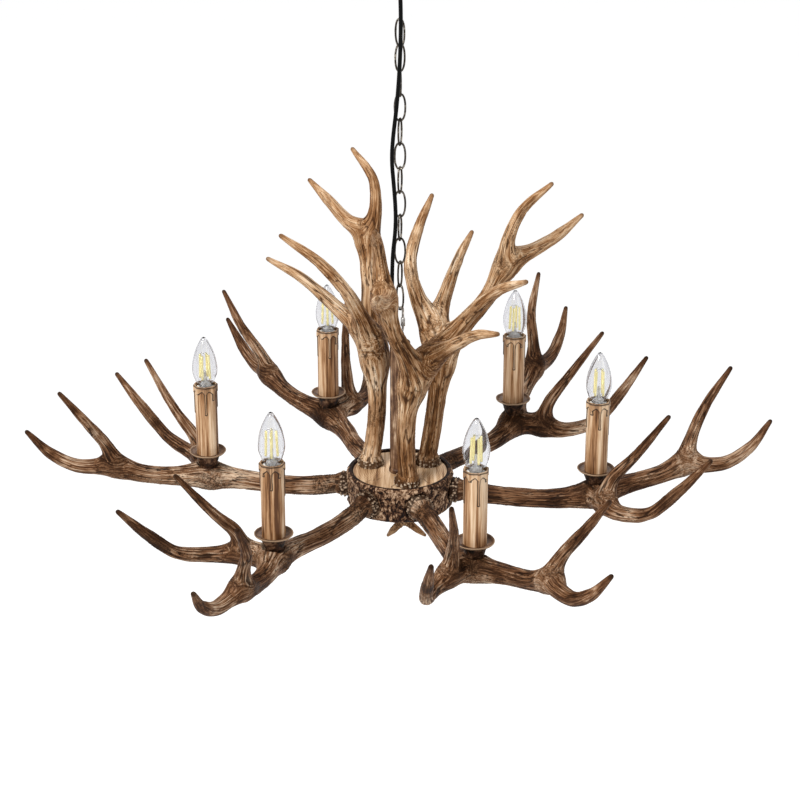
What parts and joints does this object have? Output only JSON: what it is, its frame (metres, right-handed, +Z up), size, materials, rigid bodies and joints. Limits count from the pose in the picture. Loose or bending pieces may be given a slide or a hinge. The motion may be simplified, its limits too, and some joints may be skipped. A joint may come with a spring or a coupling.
{
  "type": "antler chandelier",
  "caption": "Ceiling pendant with antler arms on a drum hub, upright antlers above it, candle sleeves with clear candle bulbs, hung from a canopy on a link chain",
  "frame": {"origin": "in the ceiling plane, midway between the bracket's two ceiling holes, on the line that the chain hangs on", "axes": "+Z up, +X to the right and +Y away from the viewer in the picture"},
  "size_m": [1.0199, 0.8931, 0.8219],
  "materials": {
    "zinc_steel": "zinc plated, dull",
    "antique_brass": "antiqued dark brown with brass glints",
    "black_cord": "smooth black sheath",
    "column_brown": "brown paint with a mottled glaze",
    "bark_resin": "cast resin with moulded bark, tan and dark brown",
    "sawn_face_resin": "cast resin with fine sawn grain, pale tan",
    "terminal_plastic": "moulded",
    "antler_tan": "cast resin, grooved, tan with brown glaze",
    "antler_brown": "cast resin, grooved, brown with dark glaze",
    "cup_brown": "cast resin, rough dark brown",
    "pan_bronze": "bronze paint, lighter on the rim",
    "wood_look_sleeve": "wood look with brown streaks",
    "holder_plastic": "moulded",
    "bulb_glass": "clear",
    "bulb_cap": "nickel plated cap, yellow filament rods"
  },
  "bodies": {
    "ceiling": {"ceiling_bracket": "zinc_steel", "canopy": "antique_brass", "canopy_screws": "antique_brass", "canopy_loop": "antique_brass"},
    "top_link": {"chain_top_link": "antique_brass"},
    "chain": {"chain_links": "antique_brass", "supply_cord": "black_cord"},
    "screw_link": {"quick_link": "antique_brass"},
    "screw_link_sleeve": {"quick_link_nut": "antique_brass"},
    "fixture": {"column": "column_brown", "column_eye": "antique_brass", "hub_ring": "bark_resin", "hub_top_disc": "sawn_face_resin", "hub_bottom_disc": "sawn_face_resin", "antler_screws": "zinc_steel", "terminal_block": "terminal_plastic", "finial": "antler_tan", "candle_nipples": "zinc_steel", "lampholders": "holder_plastic", "upright_antler_1": "antler_tan", "upright_antler_2": "antler_tan", "upright_antler_3": "antler_tan", "arm_antler_1": "antler_brown", "arm_antler_2": "antler_brown", "arm_antler_3": "antler_brown", "arm_antler_4": "antler_brown", "arm_antler_5": "antler_brown", "arm_antler_6": "antler_brown", "candle_cup_1": "cup_brown", "candle_cup_2": "cup_brown", "candle_cup_3": "cup_brown", "candle_cup_4": "cup_brown", "candle_cup_5": "cup_brown", "candle_cup_6": "cup_brown", "drip_pan_1": "pan_bronze", "drip_pan_2": "pan_bronze", "drip_pan_3": "pan_bronze", "drip_pan_4": "pan_bronze", "drip_pan_5": "pan_bronze", "drip_pan_6": "pan_bronze", "candle_sleeve_1": "wood_look_sleeve", "candle_sleeve_2": "wood_look_sleeve", "candle_sleeve_3": "wood_look_sleeve", "candle_sleeve_4": "wood_look_sleeve", "candle_sleeve_5": "wood_look_sleeve", "candle_sleeve_6": "wood_look_sleeve"},
    "bulb_1": {"bulb_glass_1": "bulb_glass", "bulb_base_1": "bulb_cap"},
    "bulb_2": {"bulb_glass_2": "bulb_glass", "bulb_base_2": "bulb_cap"},
    "bulb_3": {"bulb_glass_3": "bulb_glass", "bulb_base_3": "bulb_cap"},
    "bulb_4": {"bulb_glass_4": "bulb_glass", "bulb_base_4": "bulb_cap"},
    "bulb_5": {"bulb_glass_5": "bulb_glass", "bulb_base_5": "bulb_cap"},
    "bulb_6": {"bulb_glass_6": "bulb_glass", "bulb_base_6": "bulb_cap"}
  },
  "joints": [
    {"name": "top_link_swing", "type": "hinge", "parent": "ceiling", "child": "top_link", "pos_m": [0, 0, -0.064], "axis": [1, 0, 0], "range_deg": [-10, 10], "deforming": ["supply_cord"]},
    {"name": "chain_swing", "type": "hinge", "parent": "top_link", "child": "chain", "pos_m": [0, 0, -0.09565], "axis": [0.0349, 0.9994, 0], "range_deg": [-10, 10], "deforming": ["supply_cord"]},
    {"name": "screw_link_swing", "type": "hinge", "parent": "chain", "child": "screw_link", "pos_m": [0, 0, -0.48445], "axis": [-0.6428, 0.766, 0], "range_deg": [-5, 5], "deforming": ["supply_cord"]},
    {"name": "fixture_swing", "type": "hinge", "parent": "screw_link", "child": "fixture", "pos_m": [0, 0, -0.51795], "axis": [0.766, 0.6428, 0], "range_deg": [-5, 5], "deforming": ["supply_cord"]},
    {"name": "screw_link_opening", "type": "slide", "parent": "screw_link", "child": "screw_link_sleeve", "axis": [0, 0, 1], "range_m": [0, 0.008]},
    {"name": "bulb_change_1", "type": "slide", "parent": "fixture", "child": "bulb_1", "axis": [0, 0, 1], "range_m": [0, 0.03]},
    {"name": "bulb_change_2", "type": "slide", "parent": "fixture", "child": "bulb_2", "axis": [0, 0, 1], "range_m": [0, 0.03]},
    {"name": "bulb_change_3", "type": "slide", "parent": "fixture", "child": "bulb_3", "axis": [0, 0, 1], "range_m": [0, 0.03]},
    {"name": "bulb_change_4", "type": "slide", "parent": "fixture", "child": "bulb_4", "axis": [0, 0, 1], "range_m": [0, 0.03]},
    {"name": "bulb_change_5", "type": "slide", "parent": "fixture", "child": "bulb_5", "axis": [0, 0, 1], "range_m": [0, 0.03]},
    {"name": "bulb_change_6", "type": "slide", "parent": "fixture", "child": "bulb_6", "axis": [0, 0, 1], "range_m": [0, 0.03]}
  ]
}
